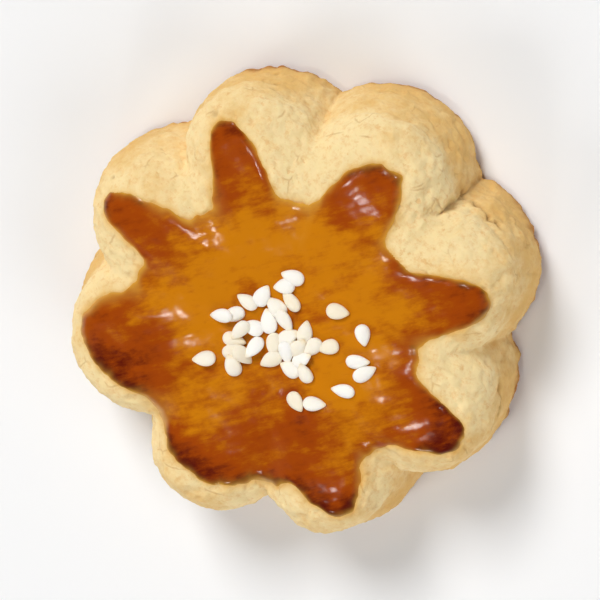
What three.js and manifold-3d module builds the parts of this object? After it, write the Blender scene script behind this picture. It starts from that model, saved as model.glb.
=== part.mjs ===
// Tea cookie: a thick flower-shaped biscuit with eight round lobes and sesame seeds on its top.
// Millimetres, +Z up. The flat base lies on z = 0 and the part's box is centred over the origin.

import * as THREE from "three";
import { ParametricGeometry } from "three/addons/geometries/ParametricGeometry.js";
import { mergeVertices } from "three/addons/utils/BufferGeometryUtils.js";
import Module from "manifold-3d";

const wasm = await Module();
wasm.setup();

const FULL_TURN = 2 * Math.PI;
const QUARTER_TURN = Math.PI / 2;
const DEGREE = Math.PI / 180;

// Driving dimensions of the biscuit
const ACROSS_LOBES = 48;
const HEIGHT = 13;
const LOBES = 8;
const FIRST_LOBE = 12 * DEGREE;
const LOBE_PITCH = FULL_TURN / LOBES;

// Wall: the rounded foot, the lean from foot to shoulder and the round of one lobe
const FOOT_ROUND = 1.0;
const WALL_TOP = 8.8;
const FOOT_REACH = ACROSS_LOBES / 2;
const LEAN_IN = 0.7;
const BULGE = 0.25;
const LOBE_ROUND_AT_FOOT = 9.6;
const LOBE_ROUND_AT_TOP = 7.3;

// Top: how far the shoulder reaches in, the dish in the middle and the valleys between the lobes
const SHOULDER_AT_LOBE = 4.2;
const SHOULDER_AT_NOTCH = 5.2;
const NOTCH_FROM = 0.35;
const DISH = 0.35;
const DISH_RADIUS = 15;
const VALLEY = 0.45;
const VALLEY_FROM = 7;
const VALLEY_TO = 16;

// Hand-made unevenness: waves around the flower that change its reach and turn its lobes
const OUT_OF_ROUND = [
  { count: 1, share: 0.010, from: 40 * DEGREE },
  { count: 2, share: 0.012, from: 155 * DEGREE },
  { count: 3, share: 0.009, from: 75 * DEGREE },
];
const SWAY = [
  { count: 2, share: 1.3 * DEGREE, from: 20 * DEGREE },
  { count: 3, share: 1.5 * DEGREE, from: 110 * DEGREE },
];
const SWAY_PASSES = 6;

// Lumps of the dough all over, and short splits baked into the wall, none of them far from level
const LUMP_SEED = 4127;
const LUMP_WAVES = 12;
const LUMP_HEIGHT = 0.13;
const LUMP_SHORTEST = 5;
const LUMP_LONGEST = 13;
const SPLIT_SEED = 4140;
const SPLITS = 9;
const SPLIT_DEPTH = 0.5;
const SPLIT_HALF_WIDTH = 0.55;
const SPLIT_SHORTEST = 0.8;
const SPLIT_LONGEST = 3.0;
const SPLIT_LOWEST = 2.0;
const SPLIT_HIGHEST = 8.6;
const SPLIT_SLOPE = 0.4;

// Sesame seeds, dropped on a patch beside the middle, where they lie in the glaze or on each other
const SEED_LENGTH = 2.5;
const SEED_WIDTH = 1.55;
const SEED_THICKNESS = 0.82;
const SEED_TAPER = 0.3;
const SEED_COLUMNS = 6;
const SEED_ROWS = 4;
const SEED_DRAW = 75348;
const SEEDS = 36;
const SEED_TRIES = 4000;
const SEED_APART = 1.05;
const SEED_REST = 0.3;
const SEED_LIFT = 0.35;
const SEED_NEST = 0.2;
const SEED_ROLL = 18 * DEGREE;
const SEED_STEEPEST = 28 * DEGREE;
const PATCH_LONG = 10.0;
const PATCH_SHORT = 7.2;
const PATCH_TURN = 45 * DEGREE;
const PATCH_MIDDLE = new THREE.Vector2(-1.6, 1.3);
const PATCH_CROWDING = 0.75;

// Mesh steps around the flower and along its section
const STEPS_AROUND = 144;
const SECTION = [
  { rings: 1, place: onBase },
  { rings: 2, place: onFoot },
  { rings: 8, place: onWall },
  { rings: 6, place: onShoulder },
  { rings: 5, place: onTop },
];
const SECTION_RINGS = SECTION.reduce((sum, stretch) => sum + stretch.rings, 0);

const DOUGH = { color: 0xdcb477, roughness: 0.8, metalness: 0 };

/** Repeatable draws between 0 and 1 from a whole-number seed. */
function seededDraws(seed) {
  const factor = 48271;
  const modulus = 2147483647;
  let state = seed;
  return () => {
    state = (state * factor) % modulus;
    return state / modulus;
  };
}

/** A share of the way from one value to another. */
function between(from, to, share) {
  return from + (to - from) * share;
}

/** Smooth step from 0 at one value to 1 at another. */
function easeBetween(from, to, value) {
  const share = Math.min(Math.max((value - from) / (to - from), 0), 1);
  return share * share * (3 - 2 * share);
}

/** Sum of a few cosine waves around the flower. */
function wavesAround(waves, angle) {
  return waves.reduce((sum, wave) => sum + wave.share * Math.cos(wave.count * angle - wave.from), 0);
}

/** How much further than nominal the flower reaches at an angle. */
function reachAt(angle) {
  return 1 + wavesAround(OUT_OF_ROUND, angle);
}

/** Angle from the axis of the nearest lobe, between minus and plus half a pitch. */
function angleInLobe(angle) {
  const swayed = angle - FIRST_LOBE + wavesAround(SWAY, angle);
  return swayed - LOBE_PITCH * Math.round(swayed / LOBE_PITCH);
}

/** Angle of an even step around, such that steps land on the axis of every lobe and on every notch. */
function steppedAngle(around) {
  const even = FULL_TURN * around + FIRST_LOBE;
  let angle = even;
  for (let pass = 0; pass < SWAY_PASSES; pass += 1) {
    angle = even - wavesAround(SWAY, angle);
  }
  return angle;
}

/** How near an angle is to the notch between two lobes: 0 along a lobe, 1 in the notch. */
function notchAt(angle) {
  return easeBetween(NOTCH_FROM, 1, Math.abs(angleInLobe(angle)) / (LOBE_PITCH / 2));
}

/** Radius of a flower of round lobes, at an angle from a lobe's axis. */
function flowerRadius(inLobe, reach, lobeRound) {
  const lobeCentre = reach - lobeRound;
  const aside = lobeCentre * Math.sin(inLobe);
  return lobeCentre * Math.cos(inLobe) + Math.sqrt(lobeRound * lobeRound - aside * aside);
}

/** The flower at a share of the way up the wall: its reach and the round of its lobes. */
function wallFlower(share) {
  return {
    reach: FOOT_REACH - LEAN_IN * share + BULGE * 4 * share * (1 - share),
    lobeRound: between(LOBE_ROUND_AT_FOOT, LOBE_ROUND_AT_TOP, share),
  };
}

/** Radius of the wall at an angle and a share of the way up. */
function wallRadius(angle, share) {
  const { reach, lobeRound } = wallFlower(share);
  return reachAt(angle) * flowerRadius(angleInLobe(angle), reach, lobeRound);
}

/** Distance inside the top outline: to the lobe's arc, or to the notch where the arc has ended. */
function edgeDistance(radius, angle) {
  const { reach, lobeRound } = wallFlower(1);
  const inLobe = Math.abs(angleInLobe(angle));
  const lobeCentre = reach - lobeRound;
  const nominal = radius / reachAt(angle);
  const along = nominal * Math.cos(inLobe) - lobeCentre;
  const aside = nominal * Math.sin(inLobe);
  const notchRadius = flowerRadius(LOBE_PITCH / 2, reach, lobeRound);
  const notchAlong = notchRadius * Math.cos(LOBE_PITCH / 2) - lobeCentre;
  const notchAside = notchRadius * Math.sin(LOBE_PITCH / 2);
  if (Math.atan2(aside, along) <= Math.atan2(notchAside, notchAlong)) {
    return lobeRound - Math.hypot(along, aside);
  }
  return Math.hypot(along - notchAlong, aside - notchAside);
}

/** How far the rounded shoulder reaches in at an angle. */
function shoulderWidth(angle) {
  return between(SHOULDER_AT_LOBE, SHOULDER_AT_NOTCH, notchAt(angle));
}

/** Height of the top: a quarter-round shoulder, a dished middle and valleys between the lobes. */
function topHeight(radius, angle) {
  const inside = Math.min(Math.max(edgeDistance(radius, angle) / shoulderWidth(angle), 0), 1);
  const rise = Math.sqrt(1 - (1 - inside) * (1 - inside));
  const dish = DISH * (1 - easeBetween(0, DISH_RADIUS, radius));
  const valley = VALLEY * notchAt(angle) * easeBetween(VALLEY_FROM, VALLEY_TO, radius);
  return WALL_TOP + (HEIGHT - WALL_TOP) * rise - (dish + valley) * inside;
}

/** Waves in all directions that add up to the lumps of the dough. */
function drawLumpWaves() {
  const draw = seededDraws(LUMP_SEED);
  return Array.from({ length: LUMP_WAVES }, () => {
    const upward = between(-1, 1, draw());
    const turn = FULL_TURN * draw();
    const level = Math.sqrt(1 - upward * upward);
    const rate = FULL_TURN / between(LUMP_SHORTEST, LUMP_LONGEST, draw());
    const phase = FULL_TURN * draw();
    return { x: rate * level * Math.cos(turn), y: rate * level * Math.sin(turn), z: rate * upward, phase };
  });
}

/** Short splits, anywhere around: the angle, height, half length and slope of each. */
function drawSplits() {
  const draw = seededDraws(SPLIT_SEED);
  return Array.from({ length: SPLITS }, (_, index) => ({
    angle: FULL_TURN * (index + draw()) / SPLITS,
    height: between(SPLIT_LOWEST, SPLIT_HIGHEST, draw()),
    halfLength: between(SPLIT_SHORTEST, SPLIT_LONGEST, draw() ** 2),
    slope: SPLIT_SLOPE * between(-1, 1, draw()),
  }));
}

const lumpWaves = drawLumpWaves();
const splits = drawSplits();

/** How far the lumps push the surface out at a place. */
function lumpsAt(x, y, z) {
  const sum = lumpWaves.reduce((total, wave) => {
    return total + Math.sin(wave.x * x + wave.y * y + wave.z * z + wave.phase);
  }, 0);
  return LUMP_HEIGHT * sum / Math.sqrt(LUMP_WAVES / 2);
}

/** How deep the splits cut into the wall at an angle and a height. */
function splitsAt(angle, height) {
  return splits.reduce((deepest, split) => {
    const turn = angle - split.angle;
    const aside = FOOT_REACH * Math.atan2(Math.sin(turn), Math.cos(turn));
    const along = aside / split.halfLength;
    const across = (height - split.height - split.slope * aside) / SPLIT_HALF_WIDTH;
    return Math.max(deepest, SPLIT_DEPTH * Math.exp(-(along ** 4) - across * across));
  }, 0);
}

// Each stretch of the section gives a radius, a height, how far the surface faces up and how lumpy it is

/** Flat base, from its middle to the foot. */
function onBase(along, angle) {
  const radius = along * (wallRadius(angle, 0) - FOOT_ROUND);
  return { radius, height: 0, facing: 0, lumpiness: 0 };
}

/** Rounded bottom edge. */
function onFoot(along, angle) {
  const turn = along * QUARTER_TURN;
  const radius = wallRadius(angle, 0) - FOOT_ROUND * (1 - Math.sin(turn));
  return { radius, height: FOOT_ROUND * (1 - Math.cos(turn)), facing: 0, lumpiness: along };
}

/** Wall of lobes and grooves with its splits. */
function onWall(along, angle) {
  const height = between(FOOT_ROUND, WALL_TOP, along);
  const radius = wallRadius(angle, along) - splitsAt(angle, height);
  return { radius, height, facing: 0, lumpiness: 1 };
}

/** Rounded shoulder, from the top of the wall to where the top is level. */
function onShoulder(along, angle) {
  const facing = along * QUARTER_TURN;
  const rim = wallRadius(angle, 1);
  const radius = rim - shoulderWidth(angle) * (1 - Math.cos(facing));
  const split = splitsAt(angle, WALL_TOP) * (1 - along);
  return { radius: radius - split, height: topHeight(radius, angle), facing, lumpiness: 1 };
}

/** Top, from the shoulder to the middle. */
function onTop(along, angle) {
  const radius = (wallRadius(angle, 1) - shoulderWidth(angle)) * (1 - along);
  return { radius, height: topHeight(radius, angle), facing: QUARTER_TURN, lumpiness: 1 };
}

/** Point of the biscuit's surface, by its share of the way around and of the way along the section. */
function biscuitPoint(around, upward, target) {
  const angle = steppedAngle(around);
  let ring = upward * SECTION_RINGS;
  let stretch = SECTION[0];
  for (stretch of SECTION) {
    if (ring <= stretch.rings) {
      break;
    }
    ring -= stretch.rings;
  }
  const { radius, height, facing, lumpiness } = stretch.place(ring / stretch.rings, angle);
  const lump = lumpiness * lumpsAt(radius * Math.cos(angle), radius * Math.sin(angle), height);
  const lumpyRadius = radius + lump * Math.cos(facing);
  const lumpyHeight = height + lump * Math.sin(facing);
  target.set(lumpyRadius * Math.cos(angle), lumpyRadius * Math.sin(angle), lumpyHeight);
}

/** Height of the lumpy top at a place. */
function topSurface(x, y) {
  const height = topHeight(Math.hypot(x, y), Math.atan2(y, x));
  return height + lumpsAt(x, y, height);
}

/** Height that a seed already lying there offers over a place, or none beside it. */
function seedSupport(seed, x, y) {
  const offset = new THREE.Vector2(x - seed.x, y - seed.y).rotateAround(new THREE.Vector2(), -seed.yaw);
  const along = offset.x / (SEED_LENGTH / 2);
  const across = offset.y / (SEED_WIDTH / 2);
  const spread = along * along + across * across;
  if (spread >= 1) {
    return -Infinity;
  }
  const bulge = SEED_THICKNESS * (0.5 * Math.sqrt(1 - spread) - SEED_NEST);
  return seed.z - offset.x * Math.tan(seed.pitch) + bulge;
}

/** Height that a dropped seed would touch at a place: the top, or a seed already there. */
function supportAt(x, y, seeds) {
  return seeds.reduce((highest, seed) => Math.max(highest, seedSupport(seed, x, y)), topSurface(x, y));
}

/** A seed that comes to rest on what lies under its two ends, at a place and turn. */
function restingSeed(place, yaw, roll, seeds) {
  const reach = SEED_REST * SEED_LENGTH;
  const ahead = supportAt(place.x + reach * Math.cos(yaw), place.y + reach * Math.sin(yaw), seeds);
  const behind = supportAt(place.x - reach * Math.cos(yaw), place.y - reach * Math.sin(yaw), seeds);
  const pitch = Math.atan2(behind - ahead, 2 * reach);
  const z = (ahead + behind) / 2 + SEED_LIFT * SEED_THICKNESS;
  return { x: place.x, y: place.y, z, yaw, roll, pitch };
}

/** A place in the sprinkled patch, which is crowded towards its middle. */
function placeInPatch(draw) {
  const turn = FULL_TURN * draw();
  const reach = draw() ** PATCH_CROWDING;
  const place = new THREE.Vector2(PATCH_LONG * Math.cos(turn), PATCH_SHORT * Math.sin(turn));
  return place.multiplyScalar(reach).rotateAround(new THREE.Vector2(), PATCH_TURN).add(PATCH_MIDDLE);
}

/** All the seeds, dropped one after another, without those that land on a middle or too steeply. */
function sprinkleSeeds() {
  const draw = seededDraws(SEED_DRAW);
  const seeds = [];
  for (let tries = 0; seeds.length < SEEDS && tries < SEED_TRIES; tries += 1) {
    const place = placeInPatch(draw);
    const yaw = FULL_TURN * draw();
    const roll = SEED_ROLL * between(-1, 1, draw());
    const seed = restingSeed(place, yaw, roll, seeds);
    const apart = seeds.every((other) => Math.hypot(seed.x - other.x, seed.y - other.y) > SEED_APART);
    if (apart && Math.abs(seed.pitch) < SEED_STEEPEST) {
      seeds.push(seed);
    }
  }
  return seeds;
}

/** Drop-shaped seed along X, blunt behind and narrower towards its tip. */
function seedShape() {
  const shape = new THREE.SphereGeometry(0.5, SEED_COLUMNS, SEED_ROWS).rotateZ(-QUARTER_TURN);
  const points = shape.attributes.position;
  for (let index = 0; index < points.count; index += 1) {
    const along = points.getX(index);
    const girth = 1 - SEED_TAPER * 2 * along;
    points.setXYZ(
      index,
      along * SEED_LENGTH,
      points.getY(index) * girth * SEED_WIDTH,
      points.getZ(index) * girth * SEED_THICKNESS,
    );
  }
  return shape;
}

/** One seed set down at its place on the top. */
function placedSeed(seed) {
  const turn = new THREE.Quaternion().setFromEuler(new THREE.Euler(seed.roll, seed.pitch, seed.yaw, "ZYX"));
  const place = new THREE.Vector3(seed.x, seed.y, seed.z);
  return seedShape().applyMatrix4(new THREE.Matrix4().compose(place, turn, new THREE.Vector3(1, 1, 1)));
}

/** Closed solid from a surface: seams are joined and triangles without area are left out. */
function closedSolid(surface) {
  surface.deleteAttribute("normal");
  surface.deleteAttribute("uv");
  const joined = mergeVertices(surface);
  const corners = joined.index.array;
  const triangles = [];
  for (let start = 0; start < corners.length; start += 3) {
    const [a, b, c] = corners.slice(start, start + 3);
    if (a !== b && b !== c && c !== a) {
      triangles.push(a, b, c);
    }
  }
  return new wasm.Manifold(new wasm.Mesh({
    numProp: 3,
    vertProperties: new Float32Array(joined.attributes.position.array),
    triVerts: new Uint32Array(triangles),
  }));
}

/** Geometry of a solid, moved sideways so that its box is centred over the origin. */
function centredGeometry(solid) {
  const mesh = solid.getMesh();
  const geometry = new THREE.BufferGeometry();
  geometry.setAttribute("position", new THREE.BufferAttribute(mesh.vertProperties, 3));
  geometry.setIndex(new THREE.BufferAttribute(mesh.triVerts, 1));
  geometry.computeBoundingBox();
  const middle = geometry.boundingBox.getCenter(new THREE.Vector3());
  geometry.translate(-middle.x, -middle.y, 0);
  geometry.computeVertexNormals();
  return geometry;
}

/** The biscuit with its seeds fused on, as one piece. */
function buildCookie() {
  const biscuit = closedSolid(new ParametricGeometry(biscuitPoint, STEPS_AROUND, SECTION_RINGS));
  const whole = sprinkleSeeds().reduce((solid, seed) => solid.add(closedSolid(placedSeed(seed))), biscuit);
  const cookie = new THREE.Mesh(centredGeometry(whole), new THREE.MeshStandardMaterial(DOUGH));
  cookie.name = "cookie";
  return cookie;
}

const part = new THREE.Group();
part.name = "tea_cookie";
part.add(buildCookie());

export default part;
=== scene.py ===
"""Tea cookie: flower-shaped biscuit, brushed egg glaze and sesame seeds, dressed over the CAD solid.

Every shape is a surface of two parameters, the way around and the way along a section, worked out in
millimetres with numpy as whole arrays and put into its mesh in metres. The sizes and formulas of the flower,
the lumps and the seeds are the same as in the part's source, so what is dressed here keeps the solid's form.
"""

import logging
import math
from dataclasses import dataclass, field
from enum import Enum
from typing import ClassVar

import bpy
import numpy as np
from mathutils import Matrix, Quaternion, Vector


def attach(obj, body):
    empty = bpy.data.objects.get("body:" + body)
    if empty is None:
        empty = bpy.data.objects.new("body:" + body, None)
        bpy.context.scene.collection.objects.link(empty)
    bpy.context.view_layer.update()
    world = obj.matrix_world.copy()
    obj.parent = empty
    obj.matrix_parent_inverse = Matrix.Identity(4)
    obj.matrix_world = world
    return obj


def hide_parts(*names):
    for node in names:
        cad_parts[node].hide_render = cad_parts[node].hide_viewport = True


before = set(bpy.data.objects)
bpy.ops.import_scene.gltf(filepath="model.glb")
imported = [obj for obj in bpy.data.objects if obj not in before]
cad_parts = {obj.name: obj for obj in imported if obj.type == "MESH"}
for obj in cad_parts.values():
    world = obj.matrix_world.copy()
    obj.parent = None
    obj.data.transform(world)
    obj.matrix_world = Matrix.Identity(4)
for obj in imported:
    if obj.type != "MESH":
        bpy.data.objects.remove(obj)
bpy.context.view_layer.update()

LOG = logging.getLogger("tea_cookie")
MM = 0.001
FULL_TURN = 2.0 * math.pi
QUARTER_TURN = 0.5 * math.pi
NODE = "cookie"

# The brush's way over the top, and what is left of a length along it where noise is drawn out into strokes
BRUSH_TURN = math.radians(62.0)
BRUSH_STROKE = 0.14

Array = np.ndarray
Span = tuple[float, float]
Colour = tuple[float, float, float, float]
Socket = bpy.types.NodeSocket
Value = bpy.types.NodeSocket | tuple[float, ...] | float


# Names for choices


class Layer(str, Enum):
    """Named values that a mesh carries on its points for its finish to read."""

    BAKE = "bake"
    # Painted shade in the splits and pits.
    SPLIT = "split"
    SOAK = "soak"
    THIN = "thin"


class Slot(str, Enum):
    """Material slots of the part's record."""

    BISCUIT = "biscuit"
    GLAZE = "glaze"
    SESAME = "sesame"


class SocketKind(str, Enum):
    """Kinds of sockets that a node group has."""

    VALUE = "NodeSocketFloat"
    VECTOR = "NodeSocketVector"
    COLOUR = "NodeSocketColor"


class Maths(str, Enum):
    """Ways to combine two values in a finish."""

    ADD = "ADD"
    SUBTRACT = "SUBTRACT"
    MULTIPLY = "MULTIPLY"
    DIVIDE = "DIVIDE"


class Axis(int, Enum):
    """Axes to turn about."""

    X = 0
    Y = 1
    Z = 2


class Shift(Enum):
    """Which way places move at the glaze's edge: from the smooth star to the ragged one, or back."""

    OUT = 1.0
    BACK = -1.0


# Small formulas


def between(low: Array | float, high: Array | float, share: Array | float) -> Array | float:
    """Give a share of the way from one value to another."""
    return low + (high - low) * share


def ease_between(low: float, high: float, value: Array) -> Array:
    """Give a smooth step from 0 at one value to 1 at another.

    Args:
        low: Value at which the step starts.
        high: Value at which the step ends.
        value: Values to read it at.

    Returns:
        Shares between 0 and 1, three times the square less twice the cube of the way along.
    """
    share = np.clip((value - low) / (high - low), 0.0, 1.0)
    return share * share * (3.0 - 2.0 * share)


def bell(value: Array, middle: float, width: float) -> Array:
    """Give a bell of height 1: a falling exponential of the squared way from its middle, in widths."""
    return np.exp(-(((value - middle) / width) ** 2))


def upright(radius: Array | float, angle: Array, height: Array | float) -> Array:
    """Turn radius, angle and height into points."""
    radius, angle, height = np.broadcast_arrays(radius, angle, height)
    return np.stack([radius * np.cos(angle), radius * np.sin(angle), height], axis=-1)


def brushed(points: Array) -> Array:
    """Turn points to the brush's way and shorten them along it, which draws noise out into strokes.

    Args:
        points: Points in a last axis of three.

    Returns:
        The points as lengths along the brush's way, across it and upwards.
    """
    cosine, sine = math.cos(BRUSH_TURN), math.sin(BRUSH_TURN)
    along = points[..., 0] * cosine + points[..., 1] * sine
    across = points[..., 1] * cosine - points[..., 0] * sine
    return np.stack([BRUSH_STROKE * along, across, points[..., 2]], axis=-1)


def linear(red: int, green: int, blue: int) -> Colour:
    """Turn an 8-bit screen colour into linear light, by the usual curve of screens.

    Args:
        red: Red, 0 to 255.
        green: Green, 0 to 255.
        blue: Blue, 0 to 255.

    Returns:
        The three linear values and full cover.
    """
    shares = np.array([red, green, blue]) / 255.0
    light = np.where(shares <= 0.04045, shares / 12.92, ((shares + 0.055) / 1.055) ** 2.4)
    return (*(float(value) for value in light), 1.0)


# Seeded draws, noise and waves


class SeededDraws:
    """Repeatable draws between 0 and 1: each state is the last one times a factor, modulo a prime."""

    FACTOR = 48271
    MODULUS = 2147483647

    def __init__(self, seed: int) -> None:
        """Start the draws from a whole number."""
        self.state = seed

    def draw(self) -> float:
        """Give the next draw."""
        self.state = self.state * self.FACTOR % self.MODULUS
        return self.state / self.MODULUS


@dataclass(frozen=True)
class Grain:
    """Layered noise in space, drawn at the corners of a cubic lattice.

    Attributes:
        cell: Edge of the largest lattice cell, in millimetres.
        octaves: Number of layers, each with half the cell and half the height of the one before.
        seed: Whole number that picks the draws.
        height: Height of the first layer.
    """

    AXIS_FACTORS: ClassVar[tuple[int, ...]] = (374761393, 668265263, 2246822519)
    SEED_FACTOR: ClassVar[int] = 3266489917
    FOLDS: ClassVar[tuple[tuple[int, int], ...]] = ((15, 2246822507), (13, 3266489909))
    LAST_FOLD: ClassVar[int] = 16
    WORD: ClassVar[int] = 2**32
    LAYER_TURN: ClassVar[Array] = np.array([[0.36, 0.48, -0.8], [-0.8, 0.6, 0.0], [0.48, 0.64, 0.6]])

    cell: float
    octaves: int
    seed: int
    height: float = 1.0

    @classmethod
    def corner_draws(cls, corners: Array, seed: int) -> Array:
        """Mix whole-number corners into draws between 0 and 1.

        The three numbers and the seed are added up, each times its own factor. The sum is then folded onto
        itself by a shift of its bits and multiplied again, twice, and folded once more.

        Args:
            corners: Lattice corners, whole numbers in a last axis of three.
            seed: Whole number that picks the draws.

        Returns:
            One draw for each corner.
        """
        whole = corners.astype(np.int64).astype(np.uint32)
        mixed = (whole * np.array(cls.AXIS_FACTORS, dtype=np.uint32)).sum(axis=-1, dtype=np.uint32)
        mixed = mixed + np.uint32(seed * cls.SEED_FACTOR % cls.WORD)
        for bits, factor in cls.FOLDS:
            mixed = (mixed ^ (mixed >> np.uint32(bits))) * np.uint32(factor)
        return (mixed ^ (mixed >> np.uint32(cls.LAST_FOLD))).astype(float) / cls.WORD

    def one_layer(self, points: Array, seed: int) -> Array:
        """Blend the draws at the eight corners round each point.

        The blend is eased along each axis: six times the fifth power of the way across the cell, less fifteen
        times the fourth, plus ten times the cube.

        Args:
            points: Points in cells, in a last axis of three.
            seed: Whole number that picks the draws.

        Returns:
            Values between -1 and 1.
        """
        corner = np.floor(points)
        share = points - corner
        share = share * share * share * (share * (share * 6.0 - 15.0) + 10.0)
        total = np.zeros(points.shape[:-1])
        for step in np.ndindex(2, 2, 2):
            weight = np.prod(np.where(np.array(step) == 1, share, 1.0 - share), axis=-1)
            total += weight * self.corner_draws(corner + np.array(step), seed)
        return 2.0 * total - 1.0

    def at(self, points: Array) -> Array:
        """Add up the layers at points, each turned a little against the one before.

        Args:
            points: Points in millimetres, in a last axis of three.

        Returns:
            Values of about -1 to 1 times the height.
        """
        place = np.asarray(points) / self.cell
        total = np.zeros(place.shape[:-1])
        for octave in range(self.octaves):
            total += self.one_layer(place, self.seed + octave) * 0.5**octave
            place = 2.0 * place @ self.LAYER_TURN.T
        return self.height * total


@dataclass(frozen=True)
class Pits:
    """Round pits, one in a share of the cells of a cubic lattice.

    Attributes:
        cell: Edge of a lattice cell, in millimetres.
        seed: Whole number that picks the draws.
        share: Share of the cells that hold a pit.
        depth: Depth of a pit, in millimetres.
        radii: Least and greatest radius of a pit, in cells.
    """

    cell: float
    seed: int
    share: float
    depth: float
    radii: Span

    def at(self, points: Array) -> Array:
        """Give how deep in a pit points are.

        A pit is one less the squared distance from its middle over the squared radius, and the deepest
        of the 27 cells round a point counts.

        Args:
            points: Points in millimetres, in a last axis of three.

        Returns:
            Shares of the depth, between 0 and 1.
        """
        place = np.asarray(points) / self.cell
        corner = np.floor(place)
        deepest = np.zeros(place.shape[:-1])
        for step in np.ndindex(3, 3, 3):
            cell = corner + np.array(step) - 1.0
            *offsets, size, chance = (Grain.corner_draws(cell, self.seed + draw) for draw in range(1, 6))
            away = np.sum((place - (cell + np.stack(offsets, axis=-1))) ** 2, axis=-1)
            pit = np.clip(1.0 - away / between(*self.radii, size**2) ** 2, 0.0, 1.0)
            deepest = np.maximum(deepest, np.where(chance < self.share, pit, 0.0))
        return deepest


@dataclass(frozen=True)
class Wave:
    """One cosine wave around the flower.

    Attributes:
        count: Number of waves in a full turn.
        height: Height of the wave.
        start: Phase, in radians.
    """

    count: int
    height: float
    start: float

    def at(self, angle: Array) -> Array:
        """Give the wave at an angle."""
        return self.height * np.cos(self.count * angle - self.start)


# The flower and what all its pieces lie on


@dataclass(frozen=True)
class Flower:
    """Sizes and formulas of the flower-shaped biscuit, in millimetres and radians."""

    lobes: int = 8
    first_lobe: float = math.radians(12.0)
    foot_reach: float = 24.0
    height: float = 13.0
    foot_round: float = 1.0
    wall_top: float = 8.8
    lean_in: float = 0.7
    bulge: float = 0.25
    lobe_round_at_foot: float = 9.6
    lobe_round_at_top: float = 7.3
    shoulder_at_lobe: float = 4.2
    shoulder_at_notch: float = 5.2
    notch_from: float = 0.35
    dish: float = 0.35
    dish_radius: float = 15.0
    valley: float = 0.45
    valley_from: float = 7.0
    valley_to: float = 16.0
    sway_passes: int = 6
    out_of_round: tuple[Wave, ...] = (
        Wave(1, 0.010, math.radians(40.0)),
        Wave(2, 0.012, math.radians(155.0)),
        Wave(3, 0.009, math.radians(75.0)),
    )
    sway: tuple[Wave, ...] = (
        Wave(2, math.radians(1.3), math.radians(20.0)),
        Wave(3, math.radians(1.5), math.radians(110.0)),
    )

    @property
    def pitch(self) -> float:
        """Angle from one lobe to the next."""
        return FULL_TURN / self.lobes

    def reach_at(self, angle: Array) -> Array:
        """Give how much further than nominal the flower reaches."""
        return 1.0 + sum(wave.at(angle) for wave in self.out_of_round)

    def sway_at(self, angle: Array) -> Array:
        """Give how far the lobes sway from an even spacing."""
        return sum(wave.at(angle) for wave in self.sway)

    def lobe_turns(self, angle: Array) -> Array:
        """Count the lobes passed from the first one to an angle, as a number with a fraction."""
        return (angle - self.first_lobe + self.sway_at(angle)) / self.pitch

    def angle_in_lobe(self, angle: Array) -> Array:
        """Give the angle from the axis of the nearest lobe."""
        turns = self.lobe_turns(angle)
        return self.pitch * (turns - np.round(turns))

    def stepped_angles(self, steps: int) -> Array:
        """Give angles in even steps of the lobes, so that steps land on every axis and every notch.

        Args:
            steps: Number of steps in a full turn.

        Returns:
            The angles, solved by taking the sway off the even angle a few times over.
        """
        even = FULL_TURN * np.arange(steps) / steps + self.first_lobe
        angle = even
        for _ in range(self.sway_passes):
            angle = even - self.sway_at(angle)
        return angle

    def notch_at(self, angle: Array) -> Array:
        """Give how near an angle is to a notch, from 0 along a lobe to 1 in the notch."""
        return ease_between(self.notch_from, 1.0, np.abs(self.angle_in_lobe(angle)) / (self.pitch / 2.0))

    @staticmethod
    def flower_radius(in_lobe: Array | float, reach: Array, lobe_round: Array) -> Array:
        """Give the radius of a flower of round lobes, where a ray meets the circle of its lobe.

        Args:
            in_lobe: Angle from the lobe's axis.
            reach: Distance from the middle to the lobe's end.
            lobe_round: Radius of the lobe's circle.

        Returns:
            The way to the circle's middle along the ray, and from there to the circle.
        """
        centre = reach - lobe_round
        return centre * np.cos(in_lobe) + np.sqrt(lobe_round**2 - (centre * np.sin(in_lobe)) ** 2)

    def wall_flower(self, share: Array | float) -> tuple[Array, Array]:
        """Give the reach and the lobe's round at a share of the way up the wall.

        Args:
            share: Share of the way up.

        Returns:
            The reach, which leans in evenly and bulges as a parabola, and the round, which changes evenly.
        """
        reach = self.foot_reach - self.lean_in * share + self.bulge * 4.0 * share * (1.0 - share)
        return reach, between(self.lobe_round_at_foot, self.lobe_round_at_top, share)

    def wall_radius(self, angle: Array, share: Array | float) -> Array:
        """Give the wall's radius at an angle and a share of the way up."""
        reach, lobe_round = self.wall_flower(share)
        return self.reach_at(angle) * self.flower_radius(self.angle_in_lobe(angle), reach, lobe_round)

    def edge_distance(self, radius: Array, angle: Array) -> Array:
        """Measure how far inside the top outline a place is.

        Args:
            radius: Distance from the middle.
            angle: Angle around the flower.

        Returns:
            The distance to the lobe's arc, or to the notch where the arc has ended.
        """
        reach, lobe_round = self.wall_flower(1.0)
        in_lobe = np.abs(self.angle_in_lobe(angle))
        centre = reach - lobe_round
        nominal = radius / self.reach_at(angle)
        along = nominal * np.cos(in_lobe) - centre
        aside = nominal * np.sin(in_lobe)
        half = self.pitch / 2.0
        notch_radius = self.flower_radius(half, reach, lobe_round)
        notch_along = notch_radius * math.cos(half) - centre
        notch_aside = notch_radius * math.sin(half)
        on_arc = np.arctan2(aside, along) <= math.atan2(notch_aside, notch_along)
        to_arc = lobe_round - np.hypot(along, aside)
        to_notch = np.hypot(along - notch_along, aside - notch_aside)
        return np.where(on_arc, to_arc, to_notch)

    def shoulder_width(self, angle: Array) -> Array:
        """Give how far the rounded shoulder reaches in."""
        return between(self.shoulder_at_lobe, self.shoulder_at_notch, self.notch_at(angle))

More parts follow.
